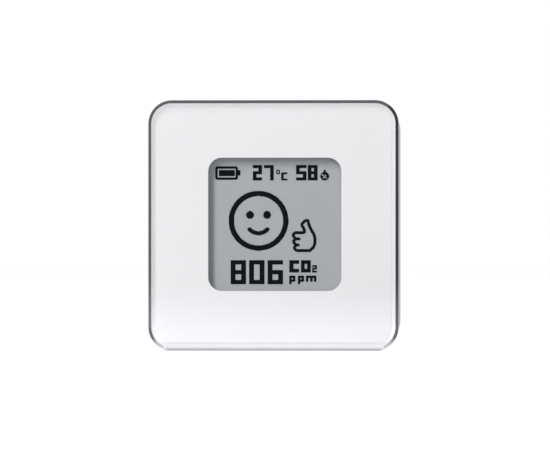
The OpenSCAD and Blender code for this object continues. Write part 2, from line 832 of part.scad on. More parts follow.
// Path of a conical spring along +x: straight ends, then curls that draw in towards the cell
spring_rings = 8;
spring_sides = 6;
spring_steps = spring_rings * spring_curls;
function spring_point(step) =
    let (share = step / spring_steps,
         radius = spring_base_r + (spring_tip_r - spring_base_r) * share)
        [spring_wire + (spring_len - 2 * spring_wire) * share,
         radius * cos(360 * step / spring_rings),
         radius * sin(360 * step / spring_rings)];
spring_path = [
    [0, spring_point(0)[1], spring_point(0)[2]],
    for (step = [0 : spring_steps]) spring_point(step),
    [spring_len, spring_point(spring_steps)[1], spring_point(spring_steps)[2]]
];

// Least distance between the wire's surfaces on curls that lie beside each other
spring_gap = min([
    for (a = [0 : spring_steps], b = [0 : spring_steps])
        if (b - a > spring_rings / 2) norm(spring_point(a) - spring_point(b)) - spring_wire
]);
echo(spring_gap = spring_gap);

function unit(v) = v / norm(v);
function path_way(path, i) =
    i == 0 || i == len(path) - 1 ? [1, 0, 0] : unit(path[i + 1] - path[i - 1]);

// One ring of points round the wire, its first side turned away from the spring's axis
function wire_ring(path, i) =
    let (way = path_way(path, i),
         out = unit(cross(cross(way, [0, path[i][1], path[i][2]]), way)),
         over = cross(way, out))
        [for (k = [0 : spring_sides - 1])
            let (turn = 360 * k / spring_sides)
                path[i] + spring_wire / 2 * (cos(turn) * out + sin(turn) * over)];

module contact_spring() {
    count = len(spring_path);
    points = [for (i = [0 : count - 1]) each wire_ring(spring_path, i)];
    last = (count - 1) * spring_sides;
    faces = [
        for (i = [0 : count - 2], k = [0 : spring_sides - 1])
            let (a = i * spring_sides + k, b = i * spring_sides + (k + 1) % spring_sides)
                each [[a, a + spring_sides, b], [b, a + spring_sides, b + spring_sides]],
        for (k = [1 : spring_sides - 2]) [0, k, k + 1],
        for (k = [1 : spring_sides - 2]) [last, last + k + 1, last + k]
    ];
    polyhedron(points, faces);
}

module battery_springs()
    color("silver") {
        translate([-bay_half + contact_t, cell_axis - depth / 2, cell_low_z]) contact_spring();
        translate([bay_half - contact_t, cell_axis - depth / 2, cell_high_z])
            rotate([0, 0, 180]) contact_spring();
    }

module battery_door()
    color("whitesmoke")
        difference() {
            intersection() {
                union() {
                    block([-bay_half + door_fit, bay_low + door_fit], [plate_w / 2, bay_top - door_fit],
                          door_in, depth);
                    block([-bay_half + door_fit, bay_low - rail_reach], [plate_w / 2, bay_top + rail_reach],
                          door_in, door_in + rail_t);
                }
                housing_form();
            }
            for (step = [0 : grip_count - 1])
                translate([plate_w / 2 - grip_inset - step * grip_pitch, depth / 2, (bay_low + bay_top) / 2])
                    cylinder(r = grip_w / 2, h = grip_len, center = true);
        }

module case_screws()
    color("gray")
        for (place = case_bosses)
            screw(place, bed, case_head_r, case_head_h, case_screw_r, case_screw_len);

front_plate();
plate_print();
front_frame();
display_gasket();
display_film();
display_panel();
display_flex();
flex_connector();
main_board();
board_components();
radio_module();
board_screws();
co2_board();
co2_pins();
co2_cell();
co2_filter();
humidity_sensor();
tact_switch();
switch_plunger();
reset_button();
rear_housing();
vent_screens();
battery_lower();
battery_upper();
contact_bridge();
contact_negative();
contact_positive();
battery_springs();
battery_door();
case_screws();
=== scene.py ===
import math

import bmesh
import bpy
from mathutils import Matrix, Vector


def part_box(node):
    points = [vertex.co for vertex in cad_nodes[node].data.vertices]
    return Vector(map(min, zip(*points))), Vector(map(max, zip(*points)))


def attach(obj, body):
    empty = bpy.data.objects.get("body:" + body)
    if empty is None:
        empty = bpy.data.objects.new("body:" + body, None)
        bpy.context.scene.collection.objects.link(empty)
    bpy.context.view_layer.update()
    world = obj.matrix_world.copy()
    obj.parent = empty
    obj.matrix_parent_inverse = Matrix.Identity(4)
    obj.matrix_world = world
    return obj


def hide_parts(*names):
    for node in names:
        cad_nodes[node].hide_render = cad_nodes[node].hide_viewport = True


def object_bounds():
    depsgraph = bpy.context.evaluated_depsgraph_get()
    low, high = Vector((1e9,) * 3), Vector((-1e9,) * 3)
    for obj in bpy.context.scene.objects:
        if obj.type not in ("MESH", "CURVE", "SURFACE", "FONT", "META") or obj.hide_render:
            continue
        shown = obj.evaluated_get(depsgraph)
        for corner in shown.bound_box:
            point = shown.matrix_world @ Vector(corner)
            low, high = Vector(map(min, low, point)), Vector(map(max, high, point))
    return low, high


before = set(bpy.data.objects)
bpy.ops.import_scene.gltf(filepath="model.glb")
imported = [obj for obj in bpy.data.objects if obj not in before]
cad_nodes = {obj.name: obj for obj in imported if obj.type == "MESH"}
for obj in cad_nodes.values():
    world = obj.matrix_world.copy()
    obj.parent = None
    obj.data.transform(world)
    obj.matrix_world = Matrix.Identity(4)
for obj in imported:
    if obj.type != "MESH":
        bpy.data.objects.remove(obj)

cad_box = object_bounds()

# The studio: a pale floor that glows to white, with a painted contact shadow in its glow where the base
# touches it, a tall soft box at the upper left and weak light all round. A grey board, and a grey arch on
# two feet, stand outside the picture, where only mirror-like edges see them, so the plate's polished
# edge draws a dark line on white.
MM = 0.001
WHITE = (1, 1, 1, 1)
STAND_UP = Matrix.Rotation(math.radians(90), 4, "X")
scene = bpy.context.scene
scene.view_settings.view_transform = "Standard"
plate_low, plate_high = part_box("front_plate")
plate_middle = (plate_low + plate_high) / 2


def add_node(tree, kind, inputs=None, **settings):
    """Adds a shader node. An input is a value, or an output socket that is linked to it."""
    made = tree.nodes.new("ShaderNode" + kind)
    for name, value in settings.items():
        setattr(made, name, value)
    for name, value in (inputs or {}).items():
        if isinstance(value, bpy.types.NodeSocket):
            tree.links.new(value, made.inputs[name])
        else:
            made.inputs[name].default_value = value
    return made


def combine(tree, operation, *values):
    """The result of a Math node on numbers or sockets."""
    return add_node(tree, "Math", dict(enumerate(values)), operation=operation).outputs[0]


def ramp(tree, value, source, target, curve="LINEAR"):
    """A value stretched from one range to another, no further than its ends."""
    return add_node(tree, "MapRange", {"Value": value, "From Min": source[0], "From Max": source[1],
                                       "To Min": target[0], "To Max": target[1]},
                    interpolation_type=curve).outputs["Result"]


def place_on(tree):
    """The place on a surface, as outputs X, Y and Z."""
    return add_node(tree, "SeparateXYZ", {0: add_node(tree, "TexCoord").outputs["Object"]}).outputs


def ray_from_eye(tree):
    """1 for rays that show the surroundings to the camera, straight or by a mirror or glass, and 0
    for rays that gather light for a surface."""
    path = add_node(tree, "LightPath").outputs
    bent = combine(tree, "MAXIMUM", path["Is Glossy Ray"], path["Is Transmission Ray"])
    seen = combine(tree, "MAXIMUM", path["Is Camera Ray"], bent)
    unscattered = combine(tree, "LESS_THAN", path["Diffuse Depth"], 1)
    return combine(tree, "MULTIPLY", seen, unscattered)


AMBIENT = 0.13
world = bpy.data.worlds.new("studio")
scene.world = world
world.use_nodes = True
sky = combine(world.node_tree, "MULTIPLY_ADD", ray_from_eye(world.node_tree), 1 - AMBIENT, AMBIENT)
backdrop = world.node_tree.nodes["Background"]
backdrop.inputs["Color"].default_value = WHITE
world.node_tree.links.new(sky, backdrop.inputs["Strength"])


def bare_material(name):
    """A new material without a shader."""
    material = bpy.data.materials.new(name)
    material.use_nodes = True
    material.node_tree.nodes.remove(material.node_tree.nodes["Principled BSDF"])
    return material


def show_mixed(tree, share, first, second):
    """Shows the first of two shaders where a share is 0 and the second where it is 1."""
    both = add_node(tree, "MixShader", {0: share, 1: first.outputs[0], 2: second.outputs[0]})
    tree.links.new(both.outputs[0], tree.nodes["Material Output"].inputs["Surface"])


def add_stage(name, form, finish):
    """Makes a bmesh a part of the studio."""
    mesh = bpy.data.meshes.new(name)
    form.to_mesh(mesh)
    form.free()
    mesh.materials.append(finish)
    made = bpy.data.objects.new(name, mesh)
    scene.collection.objects.link(made)
    return made


FLOOR_HALF = 2.5
FLOOR_PAINT = (0.80, 0.80, 0.81, 1)
FLOOR_GLOW = 0.85
FLOOR_LIGHT = 1.14
CONTACT_REACH = 0.6 * MM
PAINTED_SHADOW_GLOW = 0.32
floor_white = bare_material("floor_white")
tree = floor_white.node_tree
glow_share = combine(tree, "MULTIPLY", ray_from_eye(tree), FLOOR_GLOW)
# Painted contact shadow: ambient occlusion darkens the floor's glow where the base stands on it.
open_share = add_node(tree, "AmbientOcclusion", {"Distance": CONTACT_REACH}).outputs["AO"]
glow_with_painted_shadow = ramp(tree, open_share, (0, 1), (PAINTED_SHADOW_GLOW, FLOOR_LIGHT))
paint = add_node(tree, "BsdfDiffuse", {"Color": FLOOR_PAINT})
shine = add_node(tree, "Emission", {"Color": WHITE, "Strength": glow_with_painted_shadow})
show_mixed(tree, glow_share, paint, shine)
floor = bmesh.new()
bmesh.ops.create_grid(floor, x_segments=1, y_segments=1, size=FLOOR_HALF,
                      matrix=Matrix.Translation((0, 0, cad_box[0].z)))
add_stage("floor", floor, floor_white)


def mirror_board(name, form, tint, level):
    """A grey board that only mirrors and glass show, and that takes no light away. Its level is a
    function of the place on it."""
    grey = bare_material(name)
    tree = grey.node_tree
    paint = add_node(tree, "Emission", {"Color": (*tint, 1), "Strength": level(tree, place_on(tree))})
    show_mixed(tree, ray_from_eye(tree), add_node(tree, "BsdfTransparent"), paint)
    board = add_stage(name, form, grey)
    board.visible_camera = False
    board.visible_diffuse = False
    board.visible_volume_scatter = False
    board.visible_shadow = False


BOARD_TINT = (0.87, 0.82, 1.0)
BOARD_REACH = 100 * MM
BOARD_LEFT, BOARD_RIGHT = -45 * MM, 30 * MM
BOARD_TALL = 65 * MM
BOARD_TONE = 0.02
BOARD_FOOT_GLOW = 3.6
BOARD_FOOT_TALL = 14 * MM


def board_level(tree, place):
    """Nearly black, and bright at its foot, where it meets the floor."""
    return ramp(tree, place["Z"], (0, BOARD_FOOT_TALL), (BOARD_FOOT_GLOW, BOARD_TONE), "SMOOTHSTEP")


board_half = Vector(((BOARD_RIGHT - BOARD_LEFT) / 2, BOARD_TALL / 2))
board_place = Matrix.Translation(((BOARD_LEFT + BOARD_RIGHT) / 2, -BOARD_REACH, BOARD_TALL / 2))
front_board = bmesh.new()
bmesh.ops.create_grid(front_board, x_segments=1, y_segments=1, size=1,
                      matrix=board_place @ STAND_UP @ Matrix.Diagonal((*board_half, 1, 1)))
mirror_board("front_board", front_board, BOARD_TINT, board_level)

ARCH_TINT = (0.97, 0.975, 1.04)
ARCH_R = 120 * MM
ARCH_STEPS = 48
ARCH_FRONT, ARCH_BACK = -40 * MM, 16 * MM
ARCH_TONE, ARCH_RIGHT_TONE = 0.15, 0.06
ARCH_TURN_LEFT, ARCH_TURN_RIGHT = 55 * MM, 66 * MM
ARCH_FOOT_TONE = 0.12
ARCH_FOOT_TALL = 18 * MM


def arch_level(tree, place):
    """Grey from the left over the top, darker down the right side, and lighter towards the floor."""
    side = ramp(tree, place["X"], (ARCH_TURN_LEFT, ARCH_TURN_RIGHT), (ARCH_TONE, ARCH_RIGHT_TONE))
    foot = ramp(tree, place["Z"], (0, ARCH_FOOT_TALL), (ARCH_FOOT_TONE, 0), "SMOOTHSTEP")
    return combine(tree, "ADD", side, foot)


arch = bmesh.new()
ends = [arch.verts.new((-ARCH_R, y, 0)) for y in (ARCH_FRONT, ARCH_BACK)]
bmesh.ops.spin(arch, geom=[*ends, arch.edges.new(ends)], cent=(0, 0, 0), axis=(0, 1, 0), dvec=(0, 0, 0),
               angle=math.pi, steps=ARCH_STEPS)
mirror_board("grey_arch", arch, ARCH_TINT, arch_level)

FEET_INNER, FEET_FADE = 25 * MM, 33 * MM
FEET_FRONT, FEET_BACK = -15 * MM, -3 * MM
FEET_LIFT = 0.05 * MM
FEET_TONE = 0.18
FEET_END_TONE = 0.75


def feet_level(tree, place):
    """Grey as the arch's foot, and nearly as light as the floor at the end by the plate."""
    out = combine(tree, "ABSOLUTE", place["X"])
    return ramp(tree, out, (FEET_INNER, FEET_FADE), (FEET_END_TONE, FEET_TONE), "SMOOTHSTEP")


feet = bmesh.new()
for inner, outer in ((-FEET_INNER, -ARCH_R), (FEET_INNER, ARCH_R)):
    corners = (inner, FEET_FRONT), (outer, FEET_FRONT), (outer, FEET_BACK), (inner, FEET_BACK)
    feet.faces.new([feet.verts.new((x, y, FEET_LIFT)) for x, y in corners])
mirror_board("arch_feet", feet, ARCH_TINT, feet_level)


def aim_at(thing, place, target):
    """Stands a lamp or the camera at a place, upright, facing a target."""
    thing.location = place
    thing.rotation_euler = (target - place).to_track_quat("-Z", "Y").to_euler()


def soft_box(name, turn, rise, reach, size, power):
    """A rectangular lamp that faces the plate, at a turn to the right and a rise above it."""
    turn, rise = math.radians(turn), math.radians(rise)
    lamp = bpy.data.lights.new(name, "AREA")
    lamp.shape = "RECTANGLE"
    lamp.size, lamp.size_y = size
    lamp.energy = power
    made = bpy.data.objects.new(name, lamp)
    scene.collection.objects.link(made)
    way = Vector((math.sin(turn) * math.cos(rise), -math.cos(turn) * math.cos(rise), math.sin(rise)))
    aim_at(made, plate_middle + reach * way, plate_middle)


soft_box("key_light", turn=-30, rise=34, reach=2.0, size=(0.5, 1.2), power=31.0)
soft_box("fill_light", turn=14, rise=15, reach=1.0, size=(0.3, 0.3), power=0.85)
soft_box("rear_light", turn=-140, rise=42, reach=1.0, size=(0.35, 0.35), power=4.0)

# The camera: a long lens a little to the right of the plate's middle, level with it. Its picture is
# 550 by 450 pixels, and the plate's middle falls on the pixel that the photograph has it on.
PICTURE = Vector((550, 450))
PLATE_PIXEL = Vector((273.25, 225.45))
PIXEL = 0.2234 * MM
CAMERA_REACH = 1.2
CAMERA_TURN = math.radians(2.4)
CAMERA_FAR = 10
SENSOR = 36.0
off_centre = PICTURE / 2 - PLATE_PIXEL
sight = Vector((plate_middle.x + off_centre.x * PIXEL, plate_low.y, plate_middle.z - off_centre.y * PIXEL))
lens = bpy.data.cameras.new("camera")
lens.sensor_fit = "HORIZONTAL"
lens.sensor_width = SENSOR
lens.lens = SENSOR * CAMERA_REACH / (PICTURE.x * PIXEL)
lens.clip_end = CAMERA_FAR
camera = bpy.data.objects.new("camera", lens)
scene.collection.objects.link(camera)
scene.camera = camera
aim_at(camera, sight + CAMERA_REACH * Vector((math.sin(CAMERA_TURN), -math.cos(CAMERA_TURN), 0)), sight)

# The front plate: 3 mm clear acrylic, sawn square with round corners. Its front edge is chamfered
# and polished, and the ink and the glue on its back wet it, with no air between.
PLATE_CORNER = 5.3 * MM
CORNER_STEPS = 20
PLATE_CHAMFER = 0.7 * MM
INK_WET = 0.01 * MM
POLISHED = 1
GRAIN_DETAIL = 3.0
NOISE_MIDDLE = (0.3, 0.7)
CREASE = math.radians(30)
SIDE_TOP = 0.6 * MM
SIDE_SHADE = 0.42
plate_thick = plate_high.y - plate_low.y + INK_WET
side_middle_y = (plate_low.y + SIDE_TOP + plate_high.y) / 2
side_half_y = (plate_high.y - plate_low.y - SIDE_TOP) / 2 - INK_WET


def start_material(name, plain=None):
    """A new material, its nodes and its Principled shader, with the values that are the same all over."""
    material = bpy.data.materials.new(name)
    material.use_nodes = True
    shader = material.node_tree.nodes["Principled BSDF"]
    for socket, value in (plain or {}).items():
        shader.inputs[socket].default_value = value
    return material, material.node_tree, shader


grain_group = bpy.data.node_groups.new("surface_grain", "ShaderNodeTree")
for socket in ("Fine Scale", "Broad Scale"):
    grain_group.interface.new_socket(socket, in_out="INPUT", socket_type="NodeSocketFloat")
for socket in ("Fine", "Broad"):
    grain_group.interface.new_socket(socket, in_out="OUTPUT", socket_type="NodeSocketFloat")
grain_in = grain_group.nodes.new("NodeGroupInput")
grain_out = grain_group.nodes.new("NodeGroupOutput")
grain_place = add_node(grain_group, "TexCoord").outputs["Object"]
for socket in ("Fine", "Broad"):
    noise = add_node(grain_group, "TexNoise", {"Vector": grain_place, "Detail": GRAIN_DETAIL,
                                               "Scale": grain_in.outputs[socket + " Scale"]})
    grain_group.links.new(noise.outputs["Fac"], grain_out.inputs[socket])


def add_grain(tree, fine, broad):
    """The grain group in a material: fine is the grain's scale, broad the scale of its blotches."""
    made = tree.nodes.new("ShaderNodeGroup")
    made.node_tree = grain_group
    made.inputs["Fine Scale"].default_value = fine
    made.inputs["Broad Scale"].default_value = broad
    return made.outputs["Fine"], made.outputs["Broad"]


def blend_colour(tree, share, first, second):
    """A colour from the first to the second of two by a share. Each is three numbers or a socket."""
    ends = [end if isinstance(end, bpy.types.NodeSocket) else (*end, 1) for end in (first, second)]
    return add_node(tree, "Mix", {0: share, 6: ends[0], 7: ends[1]}, data_type="RGBA").outputs[2]


def set_colour(tree, shader, colour):
    """Gives a shader a colour that changes over the surface."""
    tree.links.new(colour, shader.inputs["Base Color"])


def set_rough(tree, shader, noise, low, high):
    """Gives a shader a roughness that follows a noise over a range."""
    tree.links.new(ramp(tree, noise, NOISE_MIDDLE, (low, high)), shader.inputs["Roughness"])


def let_light_by(tree, shader):
    """Clear acrylic to the eye, and open to the light that a surface behind it gathers. The plate's
    sides and top bend a part of that light away."""
    place = place_on(tree)
    on_edge = combine(tree, "COMPARE", place["Y"], side_middle_y, side_half_y)
    above_foot = combine(tree, "GREATER_THAN", place["Z"], plate_low.z + PLATE_CORNER)
    on_side = combine(tree, "MULTIPLY", on_edge, above_foot)
    kept_back = combine(tree, "MULTIPLY", on_side, SIDE_SHADE)
    solid = combine(tree, "MAXIMUM", ray_from_eye(tree), kept_back)
    show_mixed(tree, solid, add_node(tree, "BsdfTransparent"), shader)


acrylic, tree, shader = start_material("clear_acrylic", {
    "Base Color": (0.985, 0.99, 0.99, 1), "Transmission Weight": 1.0, "IOR": 1.49})
_, broad = add_grain(tree, fine=900, broad=60)
set_rough(tree, shader, broad, low=0.0, high=0.02)
let_light_by(tree, shader)

polished_edge, tree, shader = start_material("polished_edge", {"Metallic": 1.0})
fine, broad = add_grain(tree, fine=4000, broad=250)
set_colour(tree, shader, blend_colour(tree, broad, (0.80, 0.80, 0.86), (0.86, 0.86, 0.92)))
set_rough(tree, shader, fine, low=0.04, high=0.10)
let_light_by(tree, shader)


def plate_sheet():
    """A flat sheet of the plate's outline."""
    form = bmesh.new()
    bmesh.ops.create_grid(form, x_segments=1, y_segments=1, size=(plate_high.x - plate_low.x) / 2)
    bmesh.ops.bevel(form, geom=form.verts[:], offset=PLATE_CORNER, offset_type="OFFSET",
                    segments=CORNER_STEPS, profile=0.5, affect="VERTICES", material=-1)
    return form


def thicken(form, height):
    """Gives a flat form a thickness along z, and returns the raised vertices."""
    risen = bmesh.ops.extrude_face_region(form, geom=form.faces[:])["geom"]
    tops = [v for v in risen if isinstance(v, bmesh.types.BMVert)]
    bmesh.ops.translate(form, vec=(0, 0, height), verts=tops)
    bmesh.ops.recalc_face_normals(form, faces=form.faces[:])
    return tops


def bevel_edges(form, edges, width, segments):
    """Cuts edges off by a width, flat with one segment and round with more. Returns the new faces."""
    return bmesh.ops.bevel(form, geom=edges, offset=width, offset_type="OFFSET", segments=segments,
                           profile=0.5, affect="EDGES", material=-1)["faces"]


def stand_at(form, place):
    """Stands a form that lies flat upright at a place, its top to the front."""
    bmesh.ops.transform(form, matrix=Matrix.Translation(place) @ STAND_UP, verts=form.verts[:])


def add_piece(name, form, finishes, body="body", stands_for=(), crease=CREASE):
    """Makes a finished bmesh a piece of the part: shading, finishes, body, and the CAD nodes it stands for
    hidden.
    """
    mesh = bpy.data.meshes.new(name)
    form.to_mesh(mesh)
    form.free()
    for finish in finishes:
        mesh.materials.append(finish)
    mesh.shade_smooth()
    mesh.set_sharp_from_angle(angle=crease)
    made = bpy.data.objects.new(name, mesh)
    scene.collection.objects.link(made)
    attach(made, body)
    if stands_for:
        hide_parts(*stands_for)
    return made


plate = plate_sheet()
thicken(plate, plate_thick)
front_rim = [e for e in plate.edges if all(abs(v.co.z - plate_thick) < INK_WET for v in e.verts)]
for face in bevel_edges(plate, front_rim, PLATE_CHAMFER, segments=1):
    face.material_index = POLISHED
stand_at(plate, Vector((plate_middle.x, plate_low.y + plate_thick, plate_middle.z)))
add_piece("clear_plate", plate, [acrylic, polished_edge], stands_for=["front_plate"])

# The back print: white ink screened on the back of the plate, short of its edge and open at the window.
# The ink lies a little uneven, as a screen leaves it.
PRINT_LIGHT, PRINT_DARK = (0.88, 0.875, 0.888), (0.86, 0.855, 0.868)
NO_GLOSS = {"Specular IOR Level": 0.0}
BUMP_STRENGTH = 0.5


def dress(finish, *names):
    """Gives CAD nodes that stay as they are their finish."""
    for name in names:
        materials = cad_nodes[name].data.materials
        materials.clear()
        materials.append(finish)


def add_bump(tree, shader, height, depth, strength=BUMP_STRENGTH):
    """Raises the surface by a height of 0 to 1, depth in metres."""
    bump = add_node(tree, "Bump", {"Height": height, "Strength": strength, "Distance": depth})
    tree.links.new(bump.outputs["Normal"], shader.inputs["Normal"])


def matt_finish(name, light, dark, rough, scales, bump=0, plain=None):
    """A matt surface: two tones in blotches, a range of roughness, a grain with its depth in metres."""
    material, tree, shader = start_material(name, plain)
    fine, broad = add_grain(tree, *scales)
    set_colour(tree, shader, blend_colour(tree, broad, dark, light))
    set_rough(tree, shader, fine, *rough)
    if bump:
        add_bump(tree, shader, fine, bump)
    return material


back_print = matt_finish("back_print", PRINT_LIGHT, PRINT_DARK, rough=(0.35, 0.45), scales=(3000, 120),
                         plain=NO_GLOSS)
dress(back_print, "plate_print")

# The front frame: moulded white plastic with a fine spark-eroded grain. It carries the plate, holds
# the display behind its opening and meets the rear housing at the seam.
MOULD_ROUND = 0.12 * MM
MOULD_STEPS = 2
MOULD_CREASE = math.radians(60)
SHARP = math.radians(35)
FLAT = math.radians(0.5)
MERGE = 0.001 * MM
BODY_CORNER = 6.7 * MM
FRAME_SHOWN = 1.0 * MM
frame_low, frame_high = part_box("front_frame")
white_plastic = matt_finish("white_plastic", light=(0.83, 0.83, 0.84), dark=(0.81, 0.81, 0.82),
                            rough=(0.38, 0.52), scales=(5000, 150), bump=0.01 * MM)


def clean_up(form):
    """Merges doubled vertices and turns the faces outwards."""
    bmesh.ops.remove_doubles(form, verts=form.verts[:], dist=MERGE)
    bmesh.ops.recalc_face_normals(form, faces=form.faces[:])


def sharp_edges(form):
    """The edges that stand out sharply from a form."""
    return [e for e in form.edges if e.calc_face_angle_signed(0) > SHARP]


def softened_copy(node, width, shown, engrave=None):
    """A merged copy of a CAD solid whose shown sharp edges are rounded, as a mould leaves them."""
    form = bmesh.new()
    form.from_mesh(cad_nodes[node].data)
    bmesh.ops.remove_doubles(form, verts=form.verts[:], dist=MERGE)
    if engrave:
        engrave(form)
    bmesh.ops.dissolve_limit(form, angle_limit=FLAT, verts=form.verts[:], edges=form.edges[:])
    shown_edges = [e for e in sharp_edges(form) if all(shown(v.co) for v in e.verts)]
    bevel_edges(form, shown_edges, width, MOULD_STEPS)
    clean_up(form)
    return form


def add_moulding(name, form, finishes, body="body", stands_for=()):
    """A piece with rounded edges, whose flat faces stay flat beside them."""
    made = add_piece(name, form, finishes, body, stands_for, MOULD_CREASE)
    made.modifiers.new("even_normals", "WEIGHTED_NORMAL").keep_sharp = True


def depth_in_body(spot):
    """Depth of a place inside the body's outer walls and round corners, up to the corner's radius."""
    across = max(abs(spot.x - plate_middle.x) - frame_high.x + plate_middle.x + BODY_CORNER, 0)
    along = max(abs(spot.z - plate_middle.z) - frame_high.z + plate_middle.z + BODY_CORNER, 0)
    return BODY_CORNER - math.hypot(across, along)


def on_frame_outside(spot):
    """On the frame's outer walls, its front or the lip of its opening."""
    return depth_in_body(spot) < FRAME_SHOWN or spot.y < frame_low.y + FRAME_SHOWN


front_shell = softened_copy("front_frame", MOULD_ROUND, on_frame_outside)
add_moulding("front_shell", front_shell, [white_plastic], stands_for=["front_frame"])

# The glue ring: white glue round the print, between the plate and the frame. It is level at the plate's
# edge and sinks a little towards the print, as a bead that has been drawn in does.
PRINT_GAP = 0.005 * MM
RING_LEVEL = 0.68 * MM
RING_SINK = 0.1 * MM
print_low, print_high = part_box("plate_print")
ring = plate_sheet()
middle_face = ring.faces[:]
for width in (RING_LEVEL, print_low.x - plate_low.x - RING_LEVEL - PRINT_GAP):
    bmesh.ops.inset_region(ring, faces=middle_face, thickness=width, use_even_offset=True, use_boundary=True)
inner_rim = set(middle_face[0].verts)
bmesh.ops.delete(ring, geom=middle_face, context="FACES_ONLY")
tops = thicken(ring, print_high.y - print_low.y)
lip = [v for v in tops if any(e.other_vert(v) in inner_rim for e in v.link_edges)]
bmesh.ops.translate(ring, vec=(0, 0, -RING_SINK), verts=lip)
stand_at(ring, Vector((plate_middle.x, print_high.y, plate_middle.z)))
white_glue = matt_finish("white_glue", PRINT_LIGHT, PRINT_DARK, rough=(0.3, 0.42), scales=(2500, 200),
                         plain=NO_GLOSS)
add_piece("glue_ring", ring, [white_glue])

# The display: a grey e-paper film on a glass panel, behind a foam gasket. The picture is a square of
# black dots, so its signs are drawn on the same lattice of dots.
DOTS = 200
DOT = 0.1385 * MM
INK_THICK = 0.015 * MM
PICTURE_SIDE = -0.03 * MM
film_low, film_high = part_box("display_film")
film, tree, shader = start_material("display_film", {"Specular IOR Level": 0.1})
fine, broad = add_grain(tree, fine=9000, broad=90)
set_colour(tree, shader, blend_colour(tree, fine, (0.413, 0.433, 0.447), (0.443, 0.462, 0.477)))
set_rough(tree, shader, broad, low=0.5, high=0.6)
dress(film, "display_film")
foam = matt_finish("foam", light=(0.05, 0.05, 0.052), dark=(0.03, 0.03, 0.032), rough=(0.85, 0.95),
                   scales=(6000, 400), bump=0.05 * MM)
dress(foam, "display_gasket")
inked = set()


def dots_in(low, high, inside):
    """The dots between two corners whose middles pass a test."""
    columns = range(math.floor(low[0]), math.ceil(high[0]))
    rows = range(math.floor(low[1]), math.ceil(high[1]))
    return {(column, row) for column in columns for row in rows if inside(column + 0.5, row + 0.5)}


def ink(low, high, inside):
    """Blackens the dots between two corners that pass a test."""
    inked.update(dots_in(low, high, inside))


def clear(low, high, inside):
    """Whitens the dots between two corners that pass a test."""
    inked.difference_update(dots_in(low, high, inside))


def bar(left, top, right, bottom):
    """A black rectangle."""
    ink((left, top), (right, bottom), lambda x, y: left < x < right and top < y < bottom)


def disc(middle, radius, hole=0):
    """A black disc or ring."""
    reach = Vector((radius, radius))
    ink(middle - reach, middle + reach, lambda x, y: hole < (Vector((x, y)) - middle).length < radius)


def to_path(x, y, path):
    """Distance of a dot from a line through points."""
    spot = Vector((x, y))
    best = math.inf
    for start, end in zip(path, path[1:]):
        way = end - start
        share = min(1, max(0, (spot - start).dot(way) / way.length_squared))
        best = min(best, (start + share * way - spot).length)
    return best


def line(width, *points):
    """A black line with round ends through points."""
    path = [Vector(p) for p in points]
    low = Vector((min(p.x for p in path) - width, min(p.y for p in path) - width))
    high = Vector((max(p.x for p in path) + width, max(p.y for p in path) + width))
    ink(low, high, lambda x, y: to_path(x, y, path) < width / 2)


SIGN_BARS = {"0": "abcdef", "2": "abdeg", "5": "acdfg", "6": "acdefg", "7": "abc", "8": "abcdefg",
             "C": "adef"}


def sign(form, left, top, width, height, post, beam):
    """A block numeral of upright posts and level beams, as a seven-bar display has them."""
    right, bottom = left + width, top + height
    middle = top + (height - beam) // 2
    for name in SIGN_BARS[form]:
        if name in "adg":
            level = {"a": top, "g": middle, "d": bottom - beam}[name]
            bar(left, level, right, level + beam)
        else:
            side = right - post if name in "bc" else left
            high, low = (top, middle + beam) if name in "bf" else (middle, bottom)
            bar(side, high, side + post, low)


# Readings: carbon dioxide in large numerals, temperature and humidity in small ones.
LARGE_LEFT, LARGE_TOP, LARGE_STEP = 28, 158, 30
SMALL_TOP = 4
for place, form in enumerate("806"):
    sign(form, LARGE_LEFT + LARGE_STEP * place, LARGE_TOP, width=25, height=39, post=8, beam=7)
for form, left, width in (("2", 64, 15), ("7", 82, 16), ("5", 134, 17), ("8", 153, 16)):
    sign(form, left, SMALL_TOP, width, height=25, post=6, beam=5)

# Units: a degree ring and a small c, the gas with its index, and parts per million.
PPM_TOP, PPM_FOOT, PPM_TAIL = 183, 193, 197
PPM_STROKE = 4
M_POSTS = (150, 157, 163)
sign("0", left=102, top=12, width=6, height=7, post=2, beam=2)
sign("C", left=110, top=16, width=10, height=13, post=4, beam=3)
sign("C", left=123, top=LARGE_TOP, width=16, height=20, post=7, beam=6)
sign("0", left=142, top=LARGE_TOP, width=16, height=20, post=6, beam=6)
sign("2", left=160, top=166, width=8, height=12, post=3, beam=3)
for left in (123, 137):
    sign("0", left, PPM_TOP, width=10, height=PPM_FOOT - PPM_TOP, post=PPM_STROKE, beam=PPM_STROKE)
    bar(left, PPM_TOP, left + PPM_STROKE, PPM_TAIL)
bar(M_POSTS[0], PPM_TOP, M_POSTS[-1] + PPM_STROKE, PPM_TOP + PPM_STROKE)
for left in M_POSTS:
    bar(left, PPM_TOP, left + PPM_STROKE, PPM_FOOT)

# Battery sign: a rounded outline, its button and a full charge.
BATTERY_LOW, BATTERY_HIGH = Vector((3, 6)), Vector((40, 28))
BATTERY_CORNER = 4.5
BATTERY_LINE = 3.6


def out_of_battery(x, y):
    """Distance of a dot outside the sign's rounded outline, below 0 inside it."""
    middle = (BATTERY_LOW + BATTERY_HIGH) / 2
    half = (BATTERY_HIGH - BATTERY_LOW) / 2
    across = max(abs(x - middle.x) - half.x + BATTERY_CORNER, 0)
    along = max(abs(y - middle.y) - half.y + BATTERY_CORNER, 0)
    return math.hypot(across, along) - BATTERY_CORNER


ink(BATTERY_LOW, BATTERY_HIGH, lambda x, y: out_of_battery(x, y) < 0)
clear(BATTERY_LOW, BATTERY_HIGH, lambda x, y: out_of_battery(x, y) < -BATTERY_LINE)
bar(left=40, top=12, right=44, bottom=21)
bar(left=9, top=12, right=35, bottom=22)

